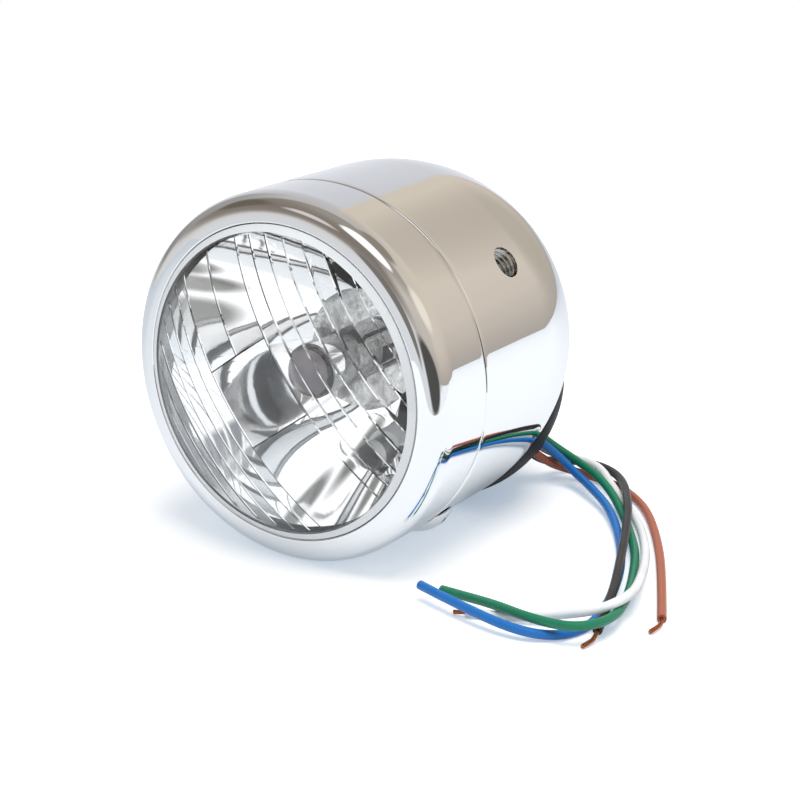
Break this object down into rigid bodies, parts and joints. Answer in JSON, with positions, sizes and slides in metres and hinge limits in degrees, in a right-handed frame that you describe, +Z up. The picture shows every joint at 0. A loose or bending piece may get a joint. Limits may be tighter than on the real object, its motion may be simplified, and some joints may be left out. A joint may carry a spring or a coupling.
{
  "type": "round motorcycle headlight",
  "caption": "Round chromed headlight with a fluted domed glass lens, bright bowl and bulb inside, a deep bucket with threaded side mounts, and coloured wires from a rubber cap at the back.",
  "frame": {"origin": "on the surface under the lamp, below the middle of its length, with the free wires left out", "axes": "-Y is the way the lens faces, along the lamp's axis; +Z is up from the surface it lies on; the lamp is rolled 35.2 degrees about its axis, so its own right-hand mount points to +X and up"},
  "size_m": [0.1747, 0.1338, 0.1143],
  "materials": {
    "chrome": "polished",
    "steel": "zinc plated",
    "spring_steel": "bright",
    "tungsten": "matt",
    "brass": "tinned",
    "copper": "bare copper strands",
    "lens_glass": "clear pressed glass",
    "bulb_glass": "clear, with a dark painted tip on the main bulb",
    "reflector": "vacuum metallised",
    "rubber": "matt black",
    "sealant": "matt grey",
    "socket_plastic": "matt black",
    "wire_blue": "satin insulation",
    "wire_green": "satin insulation",
    "wire_white": "satin insulation",
    "wire_black": "satin insulation",
    "wire_brown": "satin insulation"
  },
  "bodies": {
    "root": {"bezel": "chrome", "bucket": "chrome", "bezel_screw": "chrome", "mount_boss_right": "steel", "mount_boss_left": "steel", "screw_tab": "steel", "unit_clips": "spring_steel", "bulb_clip": "spring_steel", "bulb_base": "steel", "bulb_blades": "brass", "bulb_shade": "steel", "bulb_filaments": "tungsten", "bulb_envelope": "bulb_glass", "pilot_bulb": "bulb_glass", "lens": "lens_glass", "lens_gasket": "rubber", "lens_seal": "sealant", "reflector": "reflector", "dust_boot": "rubber", "pilot_holder": "rubber", "wire_grommet": "rubber", "bulb_socket": "socket_plastic", "lead_blue": "wire_blue", "wire_blue": "wire_blue", "lead_green": "wire_green", "wire_green": "wire_green", "lead_white": "wire_white", "wire_white": "wire_white", "lead_black": "wire_black", "wire_black": "wire_black", "lead_brown": "wire_brown", "wire_brown": "wire_brown", "copper_white": "copper", "copper_black": "copper", "copper_brown": "copper"}
  },
  "joints": []
}
